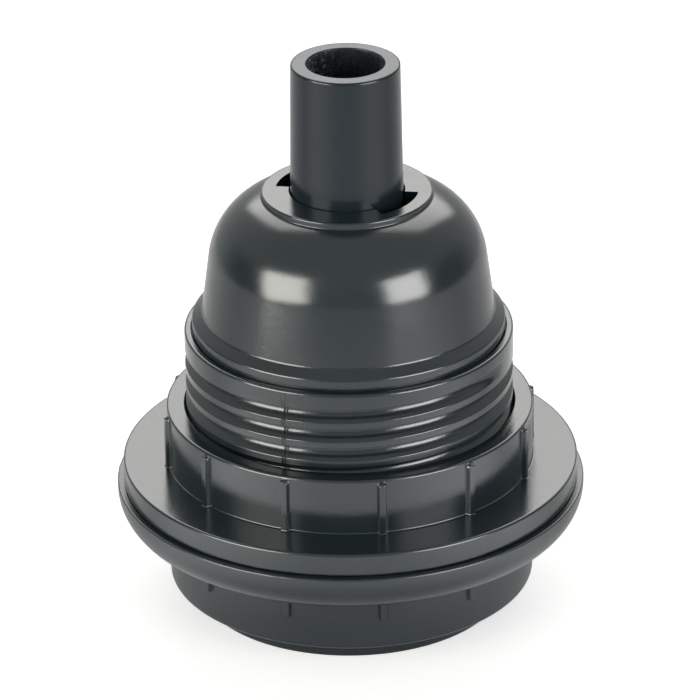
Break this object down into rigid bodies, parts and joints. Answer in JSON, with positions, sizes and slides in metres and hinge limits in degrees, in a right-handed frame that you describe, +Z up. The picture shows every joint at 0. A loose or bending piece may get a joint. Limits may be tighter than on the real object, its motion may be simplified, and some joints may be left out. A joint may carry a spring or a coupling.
{
  "type": "lamp holder",
  "caption": "Screw-socket pendant lamp holder: bell cap with a bayonet cord grip tube, skirt with two shade ring nuts, and a contact block inside.",
  "frame": {"origin": "centre of the skirt's lamp-end rim, where it stands", "axes": "+Z up the common axis of skirt, rings, cap and cord grip tube; -Y towards the side that faces the camera"},
  "size_m": [0.0568, 0.0568, 0.0692],
  "materials": {
    "black_plastic": "glossy moulded black plastic",
    "ivory_moulding": "matt ivory thermoset moulding",
    "nickel_plate": "nickel-plated drawn sheet",
    "bronze": "phosphor bronze strip",
    "brass": "bright brass",
    "zinc_steel": "zinc-plated steel"
  },
  "bodies": {
    "holder": {"skirt": "black_plastic", "contact_block": "ivory_moulding", "screw_shell": "nickel_plate", "centre_contact": "bronze", "live_rivet": "brass", "neutral_rivet": "brass", "live_terminal": "brass", "neutral_terminal": "brass", "live_clamp_washer": "zinc_steel", "neutral_clamp_washer": "zinc_steel", "shell_screw_rear": "zinc_steel", "shell_screw_front": "zinc_steel", "shell_nut_rear": "zinc_steel", "shell_nut_front": "zinc_steel"},
    "cap": {"cap": "black_plastic"},
    "cord_grip": {"cord_grip_tube": "black_plastic"},
    "upper_ring": {"upper_shade_ring": "black_plastic"},
    "lower_ring": {"lower_shade_ring": "black_plastic"},
    "live_screw": {"live_terminal_screw": "zinc_steel"},
    "neutral_screw": {"neutral_terminal_screw": "zinc_steel"}
  },
  "joints": [
    {"name": "cap_unscrew", "type": "slide", "parent": "holder", "child": "cap", "axis": [0, 0, 1], "range_m": [0, 0.03]},
    {"name": "cord_grip_turn", "type": "hinge", "parent": "cap", "child": "cord_grip", "pos_m": [0, 0, 0.05], "axis": [0, 0, 1], "range_deg": [0, 90]},
    {"name": "upper_ring_screw", "type": "slide", "parent": "holder", "child": "upper_ring", "axis": [0, 0, 1], "range_m": [0, 0.02]},
    {"name": "lower_ring_screw", "type": "slide", "parent": "holder", "child": "lower_ring", "axis": [0, 0, 1], "range_m": [-0.015, 0]},
    {"name": "live_screw_turn", "type": "hinge", "parent": "holder", "child": "live_screw", "pos_m": [-0.0104, 0, 0.033], "axis": [0, 0, 1], "range_deg": [0, 720]},
    {"name": "neutral_screw_turn", "type": "hinge", "parent": "holder", "child": "neutral_screw", "pos_m": [0.0045, 0, 0.033], "axis": [0, 0, 1], "range_deg": [0, 720]}
  ]
}
